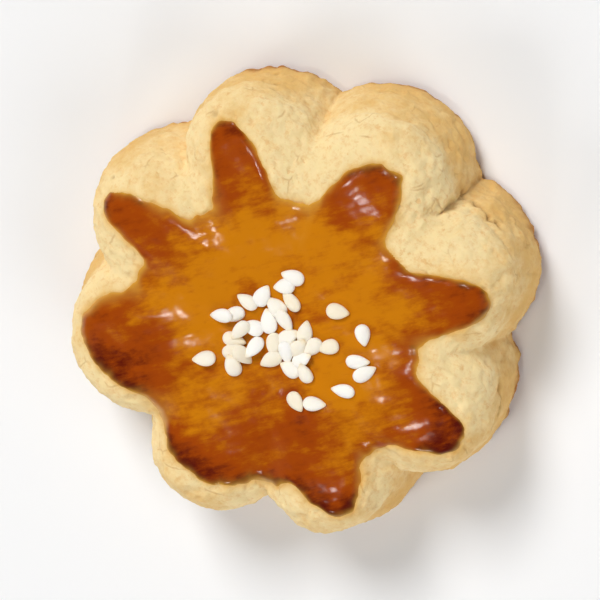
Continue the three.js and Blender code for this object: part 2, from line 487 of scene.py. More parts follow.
    def top_height(self, radius: Array, angle: Array) -> Array:
        """Give the height of the top, without lumps.

        Args:
            radius: Distance from the middle.
            angle: Angle around the flower.

        Returns:
            A quarter-round shoulder over the wall, less a dish in the middle and valleys between lobes.
        """
        inside = np.clip(self.edge_distance(radius, angle) / self.shoulder_width(angle), 0.0, 1.0)
        rise = np.sqrt(1.0 - (1.0 - inside) ** 2)
        dish = self.dish * (1.0 - ease_between(0.0, self.dish_radius, radius))
        valley = self.valley * self.notch_at(angle) * ease_between(self.valley_from, self.valley_to, radius)
        return self.wall_top + (self.height - self.wall_top) * rise - (dish + valley) * inside


@dataclass
class Lumps:
    """Slow lumps of the dough: sine waves in all directions.

    Attributes:
        waves: Rows of three rates, in radians a millimetre along X, Y and Z, and a phase.
    """

    seed: int = 4127
    count: int = 12
    height: float = 0.13
    shortest: float = 5.0
    longest: float = 13.0
    waves: Array = field(init=False)

    def __post_init__(self) -> None:
        """Draw the direction, the length and the phase of each wave."""
        draws = SeededDraws(self.seed)
        rows = []
        for _ in range(self.count):
            upward = between(-1.0, 1.0, draws.draw())
            turn = FULL_TURN * draws.draw()
            level = math.sqrt(1.0 - upward * upward)
            rate = FULL_TURN / between(self.shortest, self.longest, draws.draw())
            phase = FULL_TURN * draws.draw()
            rows.append([rate * level * math.cos(turn), rate * level * math.sin(turn), rate * upward, phase])
        self.waves = np.array(rows)

    def at(self, points: Array) -> Array:
        """Give how far the lumps push the surface out: the waves' sum over the root of half their number."""
        waves = np.sin(points @ self.waves[:, :3].T + self.waves[:, 3])
        return self.height * waves.sum(axis=-1) / math.sqrt(self.count / 2.0)


@dataclass
class Splits:
    """Short splits in the wall, one in each equal stretch of the way around.

    Attributes:
        reach: Radius that turns angles into lengths along the wall.
        bend: Noise that bends a split's line.
        jag: Noise that makes the line jagged.
        swell: Noise of the width, about the usual swell and kept between the swells.
        widest: Width at a split's middle, as a share of its usual width.
        narrowing: Share of the width that is lost by a split's end.
        far: Half lengths from the middle at which the width stops narrowing.
        places: Rows of an angle, a height, a half length and a slope.
    """

    reach: float
    seed: int = 4140
    count: int = 9
    depth: float = 0.55
    half_width: float = 0.22
    lip_depth: float = 0.16
    lip_width: float = 3.0
    shortest: float = 0.8
    longest: float = 3.0
    lowest: float = 2.0
    highest: float = 8.6
    slope: float = 0.4
    bend: Grain = Grain(2.6, 1, 61, 0.45)
    jag: Grain = Grain(0.9, 3, 62, 0.42)
    swell: Grain = Grain(1.5, 2, 63, 0.7)
    usual_swell: float = 0.85
    swells: Span = (0.25, 1.6)
    widest: float = 1.2
    narrowing: float = 0.5
    far: float = 2.0
    places: Array = field(init=False)

    def __post_init__(self) -> None:
        """Draw the place, the length and the slope of each split."""
        draws = SeededDraws(self.seed)
        rows = []
        for index in range(self.count):
            angle = FULL_TURN * (index + draws.draw()) / self.count
            height = between(self.lowest, self.highest, draws.draw())
            half_length = between(self.shortest, self.longest, draws.draw() ** 2)
            rows.append([angle, height, half_length, self.slope * between(-1.0, 1.0, draws.draw())])
        self.places = np.array(rows)

    def at(self, angle: Array, height: Array, points: Array) -> tuple[Array, Array]:
        """Give how open the splits are and how far their lips are drawn in.

        A split is a bell across its bent and jagged line times a flat-topped bell along it. Its width
        swells and pinches, and narrows towards both ends. Its lips are a wider bell over the same line.

        Args:
            angle: Angle around the flower.
            height: Height over the base.
            points: The same places as points, which the bends are read from.

        Returns:
            Values between 0 and 1 for the open splits and for the lips, of the strongest split at each place.
        """
        bend = self.bend.at(points) + self.jag.at(points)
        swell = np.clip(self.usual_swell + self.swell.at(points), *self.swells)
        opened, lips = np.zeros_like(bend), np.zeros_like(bend)
        for split_angle, split_height, half_length, slope in self.places:
            aside = self.reach * np.angle(np.exp(1j * (angle - split_angle)))
            along = np.minimum(np.abs(aside) / half_length, self.far)
            width = self.half_width * swell * (self.widest - self.narrowing * along)
            across = (height + bend - split_height - slope * aside) / width
            opened = np.maximum(opened, np.exp(-(along**4) - across**2))
            lips = np.maximum(lips, np.exp(-(along**4) - (across / self.lip_width) ** 2))
        return opened, lips


@dataclass
class GlazeEdge:
    """The ragged edge of the glaze: a star with a blunt point on each lobe.

    Attributes:
        flower: Flower whose lobes the points follow.
        tip: Usual radius at the points.
        notch: Usual radius between the points.
        sides: Wave that makes the points reach further on two opposite sides.
        flood: Wave that makes the notches fuller on one side.
        blunt: Share of the way from a point to a notch where the edge starts to fall in.
        flat: Share of that way where the edge is level with the notch.
        noise_ring: Radius of the ring that lean and wander are read around.
        lean: Noise that leans the points to one side, in lobes.
        wander: Noise of the radius.
        rags: Noise that moves places along X and along Y.
        step: Small angle that the edge's slant is measured over.
    """

    flower: Flower
    tip: float = 20.6
    notch: float = 14.9
    sides: Wave = Wave(2, 1.3, math.radians(16.0))
    flood: Wave = Wave(1, 2.4, math.radians(115.0))
    blunt: float = 0.06
    flat: float = 0.8
    noise_ring: float = 18.0
    lean: Grain = Grain(11.0, 1, 15, 0.16)
    wander: Grain = Grain(5.0, 4, 17, 0.55)
    rags: tuple[Grain, Grain] = (Grain(2.0, 3, 18, 0.24), Grain(2.0, 3, 21, 0.24))
    step: float = 0.004

    def radius_at(self, angle: Array) -> Array:
        """Give the radius of the star, before its edge is made ragged.

        The radius eases from the point to the notch with the angle from the lobe's axis, and stays level
        through the notch. Noise leans the points to one side and makes the edge wander.

        Args:
            angle: Angles around the flower.

        Returns:
            Radii in millimetres.
        """
        ring = upright(self.noise_ring, angle, 0.0)
        turns = self.flower.lobe_turns(angle) + self.lean.at(ring)
        fall = ease_between(self.blunt, self.flat, 2.0 * np.abs(turns - np.round(turns)))
        radius = between(self.tip + self.sides.at(angle), self.notch + self.flood.at(angle), fall)
        return self.flower.reach_at(angle) * radius + self.wander.at(ring)

    def ragged(self, radius: Array, angle: Array, shift: Shift) -> tuple[Array, Array]:
        """Move places on the top about, so that the glaze's edge comes out ragged.

        Args:
            radius: Distance from the middle.
            angle: Angle around the flower.
            shift: Out to move them, back to undo that, nearly.

        Returns:
            Radius and angle of the places, moved along X and Y by noise in two directions.
        """
        points = upright(radius, angle, 0.0)
        x, y = (points[..., axis] + shift.value * rag.at(points) for axis, rag in enumerate(self.rags))
        return np.hypot(x, y), np.arctan2(y, x)

    def cover_at(self, radius: Array, angle: Array) -> Array:
        """Give how far inside the ragged edge of the glaze a place on the top is.

        Args:
            radius: Distance from the middle.
            angle: Angle around the flower.

        Returns:
            The gap to the edge along the ray, times the cosine of the edge's slant; outside it is negative.
        """
        radius, angle = self.ragged(radius, angle, Shift.BACK)
        edge = self.radius_at(angle)
        change = self.radius_at(angle + self.step) - self.radius_at(angle - self.step)
        return (edge - radius) / np.sqrt(1.0 + (change / (2.0 * self.step * edge)) ** 2)


@dataclass(frozen=True)
class EdgeFade:
    """A tint that is strongest at the glaze's edge and reaches further in the notches.

    Attributes:
        most: Strength at the edge.
        reach: Usual reach on a lobe and in a notch.
        least: Least reach.
        uneven: Noise of the reach, as a share of it.
    """

    most: float
    reach: Span
    least: float
    uneven: Grain

    def at(self, away: Array, notch: Array, points: Array) -> Array:
        """Let the tint fall off exponentially from the edge.

        Args:
            away: Distance from the edge, nought or more.
            notch: How near a place is to a notch.
            points: Points of the surface.

        Returns:
            Values between 0 and 1.
        """
        reach = between(*self.reach, notch) * (1.0 + self.uneven.at(points))
        return self.most * np.exp(-away / np.maximum(reach, self.least))


@dataclass
class Dough:
    """What the dough, the glaze and the seeds all lie on: the flower with its lumps, splits and glaze edge.

    Attributes:
        box_steps: Steps around the outline that the box is measured from.
        box_rows: Rows of that outline up the wall.
        middle: Middle of the flower's box, which the finished pieces have at the origin.
    """

    flower: Flower = Flower()
    lumps: Lumps = field(default_factory=Lumps)
    box_steps: int = 720
    box_rows: int = 12
    splits: Splits = field(init=False)
    glaze_edge: GlazeEdge = field(init=False)
    middle: Array = field(init=False)

    def __post_init__(self) -> None:
        """Lay the splits and the glaze's edge on the flower, then find the middle from the wall's outline."""
        self.splits = Splits(self.flower.foot_reach)
        self.glaze_edge = GlazeEdge(self.flower)
        angle = self.flower.stepped_angles(self.box_steps)[None, :]
        share = np.linspace(0.0, 1.0, self.box_rows)[:, None]
        radius = self.flower.wall_radius(angle, share)
        height = between(self.flower.foot_round, self.flower.wall_top, share)
        lump = self.lumps.at(upright(radius, angle, height))
        outline = upright(radius + lump, angle, height)[..., :2].reshape(-1, 2)
        self.middle = np.append((outline.min(axis=0) + outline.max(axis=0)) / 2.0, 0.0)

    def top_surface(self, radius: Array, angle: Array) -> Array:
        """Give the height of the lumpy top."""
        height = self.flower.top_height(radius, angle)
        return height + self.lumps.at(upright(radius, angle, height))


# Meshes and nodes


class ClosedGrid:
    """A closed surface, or many alike, from rings of points with one pole at each end.

    Attributes:
        SHORTEST: Least length that a normal is divided by.
        mesh: The surface's mesh.
    """

    SHORTEST = 1e-9

    def __init__(self, name: str, rings: Array, low_pole: Array, high_pole: Array) -> None:
        """Put the rings and poles into a mesh whose faces point outwards.

        Args:
            name: Name of the piece.
            rings: Points in millimetres, by copy, ring and step around.
            low_pole: Pole before the first ring, by copy.
            high_pole: Pole after the last ring, by copy.
        """
        copies, ring_count, steps, _ = rings.shape
        points = np.concatenate([rings.reshape(copies, -1, 3), low_pole[:, None], high_pole[:, None]], axis=1)
        body = np.arange(ring_count * steps).reshape(ring_count, steps)
        following = np.roll(body, -1, axis=1)
        quads = np.stack([body[:-1], following[:-1], following[1:], body[1:]], axis=-1).reshape(-1, 4)
        low = np.full(steps, ring_count * steps)
        fan_low = np.stack([low, following[0], body[0]], axis=-1)
        fan_high = np.stack([low + 1, body[-1], following[-1]], axis=-1)
        shift = (np.arange(copies) * points.shape[1])[:, None, None]
        parts = (quads, fan_low, fan_high)
        faces = [face for part in parts for face in np.concatenate(part + shift).tolist()]
        self.mesh = bpy.data.meshes.new(name)
        self.mesh.from_pydata((points.reshape(-1, 3) * MM).tolist(), [], faces)
        self.mesh.polygons.foreach_set("use_smooth", np.ones(len(self.mesh.polygons), dtype=bool))
        self.mesh.update()

    @classmethod
    def normals(cls, rings: Array) -> Array:
        """Give unit normals of rings of points, from the steps to the neighbours around and along.

        Args:
            rings: Points by ring and step around.

        Returns:
            Normals of the same shape, pointing outwards.
        """
        around = np.roll(rings, -1, axis=1) - np.roll(rings, 1, axis=1)
        along = np.gradient(rings, axis=0)
        normal = np.cross(around, along)
        return normal / np.maximum(np.linalg.norm(normal, axis=-1, keepdims=True), cls.SHORTEST)

    def carry(self, layer: Layer, rings: Array, low: Array | float, high: Array | float) -> None:
        """Put a named value on the points.

        Args:
            layer: Name of the value.
            rings: Values by copy, ring and step around.
            low: Value at the low pole.
            high: Value at the high pole.
        """
        copies = rings.shape[0]
        poles = np.stack(np.broadcast_arrays(low, high, np.zeros(copies))[:2], axis=-1)
        values = np.concatenate([rings.reshape(copies, -1), poles], axis=1)
        attribute = self.mesh.attributes.new(layer.value, "FLOAT", "POINT")
        attribute.data.foreach_set("value", values.ravel().astype(np.float32))

    def finish_piece(self, material: bpy.types.Material) -> bpy.types.Object:
        """Make the object, dress it, hang it on the root body and hide the part that it stands for.

        Args:
            material: Finish of the piece.

        Returns:
            The finished object, at the origin.
        """
        self.mesh.materials.append(material)
        piece = bpy.data.objects.new(self.mesh.name, self.mesh)
        bpy.context.scene.collection.objects.link(piece)
        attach(piece, "root")
        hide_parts(NODE)
        triangles = sum(len(face.vertices) - 2 for face in self.mesh.polygons)
        LOG.info("%s: %d triangles", piece.name, triangles)
        return piece


class NodeBench:
    """Adds and joins the nodes of one material or node group.

    Attributes:
        COLOUR_INPUTS: Places of the two colours among the inputs of a blend.
        COLOUR_OUTPUT: Place of the colour among its outputs.
        NOISE_MIDDLE: Value that noise swings about.
    """

    COLOUR_INPUTS = (6, 7)
    COLOUR_OUTPUT = 2
    NOISE_MIDDLE = 0.5

    def __init__(self, tree: bpy.types.NodeTree) -> None:
        """Work on a node tree."""
        self.tree = tree

    def add(self, kind: str, values: dict[str, Value] | None = None, **settings: object) -> bpy.types.Node:
        """Add a node.

        Args:
            kind: Blender's name of the node type.
            values: Values or sockets for its inputs, by input name.
            settings: Values of its other settings.

        Returns:
            The new node.
        """
        node = self.tree.nodes.new(kind)
        for name, value in settings.items():
            setattr(node, name, value)
        for name, value in (values or {}).items():
            self.feed(node.inputs[name], value)
        return node

    def feed(self, socket: Socket, value: Value) -> None:
        """Link a socket into an input, or set the input to a value.

        Args:
            socket: Input to feed.
            value: Value, or the socket that it comes from.
        """
        if isinstance(value, bpy.types.NodeSocket):
            self.tree.links.new(value, socket)
        else:
            socket.default_value = value

    def maths(self, operation: Maths, first: Value, second: Value, clamp: bool = False) -> Socket:
        """Combine two values.

        Args:
            operation: How to combine them.
            first: First value or socket.
            second: Second value or socket.
            clamp: Keep the result between 0 and 1.

        Returns:
            Socket of the result.
        """
        node = self.add("ShaderNodeMath", operation=operation.value, use_clamp=clamp)
        self.feed(node.inputs[0], first)
        self.feed(node.inputs[1], second)
        return node.outputs[0]

    def ramp(self, value: Value, source: Span, target: Span = (0.0, 1.0)) -> Socket:
        """Map a range of values smoothly onto another and clamp it there.

        Args:
            value: Value or socket to map.
            source: Range that the value is read over.
            target: Range that comes out.

        Returns:
            Socket of the result.
        """
        names = ("From Min", "From Max", "To Min", "To Max")
        values = {"Value": value, **dict(zip(names, source + target))}
        node = self.add("ShaderNodeMapRange", values, interpolation_type="SMOOTHSTEP", clamp=True)
        return node.outputs["Result"]

    def blend(self, share: Value, first: Value, second: Value) -> Socket:
        """Blend two colours. The node's colour sockets go by place, because their names repeat.

        Args:
            share: Share of the second colour.
            first: First colour or socket.
            second: Second colour or socket.

        Returns:
            Socket of the blended colour.
        """
        node = self.add("ShaderNodeMix", data_type="RGBA")
        self.feed(node.inputs["Factor"], share)
        for place, colour in zip(self.COLOUR_INPUTS, (first, second)):
            self.feed(node.inputs[place], colour)
        return node.outputs[self.COLOUR_OUTPUT]

    def noise(self, position: Value, scale: Value, detail: float, fine: float = 0.6) -> Socket:
        """Give layered noise.

        Args:
            position: Place to read it at.
            scale: Cells in a metre.
            detail: Number of finer layers.
            fine: Strength of each finer layer, as a share of the one before.

        Returns:
            Socket of the noise, between 0 and 1.
        """
        values = {"Vector": position, "Scale": scale, "Detail": detail, "Roughness": fine}
        return self.add("ShaderNodeTexNoise", values).outputs["Fac"]

    def swing(self, noise: Socket, share: Value) -> Socket:
        """Give how far noise is from its middle, times a share."""
        return self.maths(Maths.MULTIPLY, self.maths(Maths.SUBTRACT, noise, self.NOISE_MIDDLE), share)

    def carried(self, layer: Layer) -> Socket:
        """Read a named value that the mesh carries."""
        return self.add("ShaderNodeAttribute", attribute_name=layer.value).outputs["Fac"]

    def position(self) -> Socket:
        """Give the place on the piece in its own coordinates."""
        return self.add("ShaderNodeTexCoord").outputs["Object"]

    def effect(self, tree: bpy.types.NodeTree, values: dict[str, Value]) -> Socket:
        """Place a shared effect with its own values and give its output."""
        return self.add("ShaderNodeGroup", values, node_tree=tree).outputs[0]


class EffectBench(NodeBench):
    """A bench on a new shader node group with named inputs and one named output.

    Attributes:
        given: Sockets of the group's inputs, by name.
        result: Socket of the group's output.
    """

    KINDS = {1: SocketKind.VALUE, 3: SocketKind.VECTOR, 4: SocketKind.COLOUR}

    def __init__(self, name: str, starts: dict[str, Value], output: str, output_kind: SocketKind) -> None:
        """Make the group and its sockets.

        Args:
            name: Name of the group.
            starts: Starting value of each input by name: three numbers make a vector, four a colour.
            output: Name of the output.
            output_kind: Kind of the output.
        """
        super().__init__(bpy.data.node_groups.new(name, "ShaderNodeTree"))
        for key, value in starts.items():
            kind = self.KINDS[len(value) if isinstance(value, tuple) else 1]
            socket = self.tree.interface.new_socket(key, in_out="INPUT", socket_type=kind.value)
            socket.default_value = value
        self.tree.interface.new_socket(output, in_out="OUTPUT", socket_type=output_kind.value)
        entry = self.add("NodeGroupInput")
        self.given = {key: entry.outputs[key] for key in starts}
        self.result = self.add("NodeGroupOutput").inputs[output]


# Finishes


class SharedEffects:
    """Node groups that the finishes are made with.

    Attributes:
        PORE_EDGE: Ways past the level of the pores over which a pore turns shallow.
        CRACKED_EDGE: Ways past the least of the slow noise over which cracks come in.
    """

    PORE_EDGE: Span = (-0.06, 0.0)
    CRACKED_EDGE: Span = (0.0, 0.12)

    def __init__(self) -> None:
        """Build each group once."""
        self.browning = self.build_browning()
        self.crumb = self.build_crumb()
        self.hairlines = self.build_hairlines()

    @staticmethod
    def build_browning() -> bpy.types.NodeTree:
        """Build the oven browning: three colours along a mottled bake value.

        Returns:
            The node group.
        """
        bench = EffectBench("oven_browning", {
            "Position": (0.0, 0.0, 0.0),
            "Bake": 0.5,
            "Mottle": 0.2,
            "Scale": 300.0,
            "Pale": (1.0, 1.0, 1.0, 1.0),
            "Gold": (0.5, 0.5, 0.5, 1.0),
            "Brown": (0.1, 0.1, 0.1, 1.0),
        }, "Colour", SocketKind.COLOUR)
        given = bench.given
        patches = bench.noise(given["Position"], given["Scale"], detail=7.0, fine=0.72)
        toned = bench.maths(Maths.ADD, given["Bake"], bench.swing(patches, given["Mottle"]), clamp=True)
        lighter = bench.blend(bench.ramp(toned, (0.0, 0.5)), given["Pale"], given["Gold"])
        bench.feed(bench.result, bench.blend(bench.ramp(toned, (0.5, 1.0)), lighter, given["Brown"]))
        return bench.tree

    @classmethod
    def build_crumb(cls) -> bpy.types.NodeTree:
        """Build the crumb: a grainy height with pores sunk in, where another noise falls below a level.

        Returns:
            The node group.
        """
        bench = EffectBench("crumb", {
            "Position": (0.0, 0.0, 0.0),
            "Scale": 1000.0,
            "Pore Scale": 900.0,
            "Pore Level": 0.35,
            "Pore Depth": 0.5,
        }, "Height", SocketKind.VALUE)
        given = bench.given
        grain = bench.noise(given["Position"], given["Scale"], detail=5.0, fine=0.75)
        holes = bench.noise(given["Position"], given["Pore Scale"], detail=3.0)
        over = bench.maths(Maths.SUBTRACT, holes, given["Pore Level"])
        pores = bench.ramp(over, cls.PORE_EDGE, (1.0, 0.0))
        sunk = bench.maths(Maths.MULTIPLY, pores, given["Pore Depth"])
        bench.feed(bench.result, bench.maths(Maths.SUBTRACT, grain, sunk))
        return bench.tree

    @classmethod
    def build_hairlines(cls) -> bpy.types.NodeTree:
        """Build hairline cracks: the edges of bent cells, kept only where a slow noise is high.

        Returns:
            The node group.
        """
        bench = EffectBench("hairlines", {
            "Position": (0.0, 0.0, 0.0),
            "Scale": 300.0,
            "Bend": (0.001, 0.001, 0.001),
            "Width": 0.04,
            "Least": 0.5,
        }, "Lines", SocketKind.VALUE)
        given = bench.given
        values = {"Vector": given["Position"], "Scale": given["Scale"], "Detail": 4.0}
        wander = bench.add("ShaderNodeTexNoise", values).outputs["Color"]
        bent = bench.add("ShaderNodeVectorMath", operation="MULTIPLY_ADD")
        for socket, value in zip(bent.inputs, (wander, given["Bend"], given["Position"])):
            bench.feed(socket, value)
        values = {"Vector": bent.outputs["Vector"], "Scale": given["Scale"]}
        cells = bench.add("ShaderNodeTexVoronoi", values, feature="DISTANCE_TO_EDGE").outputs["Distance"]
        lines = bench.ramp(bench.maths(Maths.DIVIDE, cells, given["Width"]), (0.0, 1.0), (1.0, 0.0))
        slow = bench.noise(given["Position"], given["Scale"], detail=2.0)
        kept = bench.ramp(bench.maths(Maths.SUBTRACT, slow, given["Least"]), cls.CRACKED_EDGE)
        bench.feed(bench.result, bench.maths(Maths.MULTIPLY, lines, kept))
        return bench.tree


@dataclass(frozen=True)
class Finish:
    """What every finish has: its name, its baked colours, its surface and the making of its material.

    Attributes:
        name: Name of the material.
        pale: Colour where it is least baked.
        gold: Colour where it is half baked.
        brown: Colour where it is most baked.
        mottle: How far patches swing the browning.
        patch_scale: Patches in a metre.
        roughness: Plain roughness, or the most where it varies.
        refraction: Index of refraction.
        bump: Strength of the fine relief.
        bump_depth: Depth of the fine relief, in millimetres.
        soft: Share of the light that goes under the surface.
        soft_colours: How far red, green and blue go there, as shares.
        soft_reach: How far light goes there, in millimetres.
    """

    name: str
    pale: Colour
    gold: Colour
    brown: Colour
    mottle: float
    patch_scale: float
    roughness: float
    refraction: float
    bump: float
    bump_depth: float
    soft: float = 0.0
    soft_colours: tuple[float, float, float] = (1.0, 1.0, 1.0)
    soft_reach: float = 1.0

    def start(self) -> tuple[bpy.types.Material, NodeBench, bpy.types.Node]:
        """Make a material with a Principled shader.

        Returns:
            The material, a bench for its nodes and the shader node.
        """
        material = bpy.data.materials.new(self.name)
        material.use_nodes = True
        shader = material.node_tree.nodes["Principled BSDF"]
        shader.inputs["Roughness"].default_value = self.roughness
        shader.inputs["IOR"].default_value = self.refraction
        shader.inputs["Subsurface Weight"].default_value = self.soft
        shader.inputs["Subsurface Radius"].default_value = self.soft_colours
        shader.inputs["Subsurface Scale"].default_value = self.soft_reach * MM
        return material, NodeBench(material.node_tree), shader

    def browned(self, bench: NodeBench, effects: SharedEffects, place: Socket, bake: Socket) -> Socket:
        """Place the oven browning with the finish's own colours.

        Args:
            bench: Bench of the material.
            effects: Shared node groups.
            place: Place on the piece.
            bake: How brown the piece is there.

        Returns:
            Socket of the colour.
        """
        return bench.effect(effects.browning, {
            "Position": place,
            "Bake": bake,
            "Mottle": self.mottle,
            "Scale": self.patch_scale,
            "Pale": self.pale,
            "Gold": self.gold,
            "Brown": self.brown,
        })

    def raise_surface(self, bench: NodeBench, shader: bpy.types.Node, height: Socket) -> None:
        """Feed a height through a bump into the shader.

        Args:
            bench: Bench of the material.
            shader: Shader of the material.
            height: Height of the fine relief.
        """
        values = {"Strength": self.bump, "Distance": self.bump_depth * MM, "Height": height}
        bump = bench.add("ShaderNodeBump", values)
        bench.feed(shader.inputs["Normal"], bump.outputs["Normal"])


@dataclass(frozen=True)
class DoughFinish(Finish):
    """Matte baked dough: cream, gold and brown, stained beside the glaze, with painted shade in the crumb's
    low spots, the splits, the pits and the hairline cracks.

    Attributes:
        painted_hollow_shade: Painted shade in the low spots of the crumb.
        inside_split: Painted shade in the splits and pits.
        crack_shade: Painted shade along the hairline cracks.
        stain: Colour that the glaze leaves beside its edge.
        hollows: Heights of the crumb over which the painted shade in its low spots fades out.
        hollow_shade_share: Most of the painted shade in the crumb's low spots.
        split_shade_share: Most of the painted shade in the splits and pits.
        crack_shade_share: Most of the painted shade along the hairline cracks.
        crack_depth: Depth of the cracks, as a share of the fine relief.
    """

    name: str = "baked_dough"
    pale: Colour = linear(249, 224, 168)
    gold: Colour = linear(232, 188, 114)
    brown: Colour = linear(178, 114, 52)
    mottle: float = 0.85
    patch_scale: float = 300.0
    roughness: float = 0.82
    refraction: float = 1.42
    bump: float = 0.6
    bump_depth: float = 0.3
    soft: float = 0.08
    soft_colours: tuple[float, float, float] = (1.0, 0.6, 0.3)
    soft_reach: float = 1.2
    painted_hollow_shade: Colour = linear(224, 164, 88)
    inside_split: Colour = linear(142, 92, 44)
    crack_shade: Colour = linear(192, 136, 72)
    stain: Colour = linear(222, 164, 66)
    hollows: Span = (0.25, 0.55)
    hollow_shade_share: float = 0.5
    split_shade_share: float = 0.85
    crack_shade_share: float = 0.4
    crack_depth: float = 0.22

    def material(self, effects: SharedEffects) -> bpy.types.Material:
        """Make the material.

        Args:
            effects: Shared node groups.

        Returns:
            The material.
        """
        material, bench, shader = self.start()
        place = bench.position()
        browned = self.browned(bench, effects, place, bench.carried(Layer.BAKE))
        crumb = bench.effect(effects.crumb, {
            "Position": place,
            "Scale": 1300.0,
            "Pore Scale": 900.0,
            "Pore Level": 0.37,
            "Pore Depth": 0.15,
        })
        lines = bench.effect(effects.hairlines, {
            "Position": place,
            "Scale": 330.0,
            "Bend": (0.0016, 0.0016, 0.0016),
            "Width": 0.05,
            "Least": 0.55,
        })
        # Painted shade: the crumb's low spots are darkened towards a warm brown.
        hollows = bench.ramp(crumb, self.hollows, (self.hollow_shade_share, 0.0))
        hollow_shaded = bench.blend(hollows, browned, self.painted_hollow_shade)
        # Painted shade along the hairline cracks.
        crack_shaded = bench.blend(bench.maths(Maths.MULTIPLY, lines, self.crack_shade_share), hollow_shaded, self.crack_shade)
        stained = bench.blend(bench.carried(Layer.SOAK), crack_shaded, self.stain)
        # Painted shade in the splits and pits, laid over the other colours.
        split = bench.maths(Maths.MULTIPLY, bench.carried(Layer.SPLIT), self.split_shade_share)
        bench.feed(shader.inputs["Base Color"], bench.blend(split, stained, self.inside_split))
        sunk = bench.maths(Maths.MULTIPLY, lines, self.crack_depth)
        self.raise_surface(bench, shader, bench.maths(Maths.SUBTRACT, crumb, sunk))
        return material


@dataclass(frozen=True)
class GlazeFinish(Finish):
    """Glossy brushed egg glaze: amber where it is thin, red-brown where it browned on the lobes.

    Attributes:
        thin_edge: Colour where the film runs out over the dough.
        specular: Strength of the gloss.
        stroke: Length of the brush's streaks, as a multiple of their width.
        streak_scale: Streaks in a metre, across the brush's way.
        streak_swing: How far streaks swing the browning.
        streak_gloss: Strengths of the streaks over which the roughness rises.
        least_rough: Least roughness.
        ripple_scale: Ripples of the fine relief in a metre, across the brush's way.
    """

    name: str = "egg_glaze"
    pale: Colour = linear(202, 122, 9)
    gold: Colour = linear(158, 66, 4)
    brown: Colour = linear(88, 16, 4)
    mottle: float = 0.75
    patch_scale: float = 260.0
    roughness: float = 0.2
    refraction: float = 1.46
    bump: float = 0.6
    bump_depth: float = 0.09
    thin_edge: Colour = linear(224, 172, 70)
    specular: float = 0.42
    stroke: float = 3.4
    streak_scale: float = 1300.0
    streak_swing: float = 0.8
    streak_gloss: Span = (0.3, 0.7)
    least_rough: float = 0.1
    ripple_scale: float = 560.0

    def material(self, effects: SharedEffects) -> bpy.types.Material:
        """Make the material.

        Args:
            effects: Shared node groups.

        Returns:
            The material.
        """
        material, bench, shader = self.start()
        place = bench.position()
        values = {"Vector": place, "Rotation": (0.0, 0.0, BRUSH_TURN), "Scale": (self.stroke, 1.0, 1.0)}
        along_brush = bench.add("ShaderNodeMapping", values, vector_type="TEXTURE").outputs["Vector"]
        streaks = bench.noise(along_brush, self.streak_scale, detail=4.0, fine=0.7)
        bake = bench.maths(Maths.ADD, bench.carried(Layer.BAKE), bench.swing(streaks, self.streak_swing))
        browned = self.browned(bench, effects, place, bake)
        edged = bench.blend(bench.carried(Layer.THIN), browned, self.thin_edge)
        bench.feed(shader.inputs["Base Color"], edged)
        gloss = bench.ramp(streaks, self.streak_gloss, (self.least_rough, self.roughness))
        bench.feed(shader.inputs["Roughness"], gloss)
        shader.inputs["Specular IOR Level"].default_value = self.specular
        self.raise_surface(bench, shader, bench.noise(along_brush, self.ripple_scale, detail=2.0, fine=0.45))
        return material


@dataclass(frozen=True)
class SeedFinish(Finish):
    """Satin hulled sesame: ivory white, a little toasted at the tips."""

    name: str = "hulled_sesame"
    pale: Colour = linear(255, 251, 242)
    gold: Colour = linear(250, 235, 206)
    brown: Colour = linear(226, 188, 130)
    mottle: float = 0.25
    patch_scale: float = 900.0
    roughness: float = 0.42
    refraction: float = 1.45
    bump: float = 0.25
    bump_depth: float = 0.06
    soft: float = 0.15
    soft_colours: tuple[float, float, float] = (1.0, 0.8, 0.5)
    soft_reach: float = 0.6

    def material(self, effects: SharedEffects) -> bpy.types.Material:
        """Make the material.

        Args:
            effects: Shared node groups.

        Returns:
            The material.
        """
        material, bench, shader = self.start()
        place = bench.position()
        browned = self.browned(bench, effects, place, bench.carried(Layer.BAKE))
        bench.feed(shader.inputs["Base Color"], browned)
        crumb = bench.effect(effects.crumb, {
            "Position": place,
            "Scale": 2600.0,
            "Pore Scale": 1500.0,
            "Pore Level": 0.35,
            "Pore Depth": 0.2,
        })
        self.raise_surface(bench, shader, crumb)
        return material


# The biscuit, its glaze and its seeds


@dataclass(frozen=True)
class DoughBake:
    """How brown the oven leaves the dough, from 0 for cream to 1 for brown.

    Attributes:
        wall: Browning of the wall.
        foot: Browning at the foot.
        foot_band: Height over which that fades.
        glow: Faint browning over the foot.
        glow_band: Height over which that fades.
        shoulder: How much paler the shoulder is.
        shoulder_over: Heights over which the wall turns paler.
        groove: How much paler the grooves are.
        base: How much paler the base is than the foot.
        patches: Slow patches all over.
        base_patches: More patches on the base.
    """

    wall: float = 0.42
    foot: float = 0.6
    foot_band: float = 1.2
    glow: float = 0.12
    glow_band: float = 3.5
    shoulder: float = 0.26
    shoulder_over: Span = (5.5, 11.0)
    groove: float = 0.2
    base: float = 0.18
    patches: Grain = Grain(6.0, 3, 43, 0.14)
    base_patches: Grain = Grain(4.0, 2, 47, 0.1)

    def at(self, height: Array, notch: Array, points: Array, on_base: Array) -> Array:
        """Add up the browning: bells over the foot, a smooth step up the wall, grooves and patches.

        Args:
            height: Height over the base.
            notch: How near a place is to a notch.
            points: Points of the surface.
            on_base: One on the base, nought elsewhere.

        Returns:
            Values between 0 and 1.
        """
        foot = self.foot * bell(height, 0.0, self.foot_band) + self.glow * bell(height, 0.0, self.glow_band)
        wall = self.wall - self.shoulder * ease_between(*self.shoulder_over, height)
        groove = self.groove * notch * (1.0 - on_base)
        base = on_base * (self.base_patches.at(points) - self.base)
        return np.clip(foot + wall - groove + self.patches.at(points) + base, 0.0, 1.0)


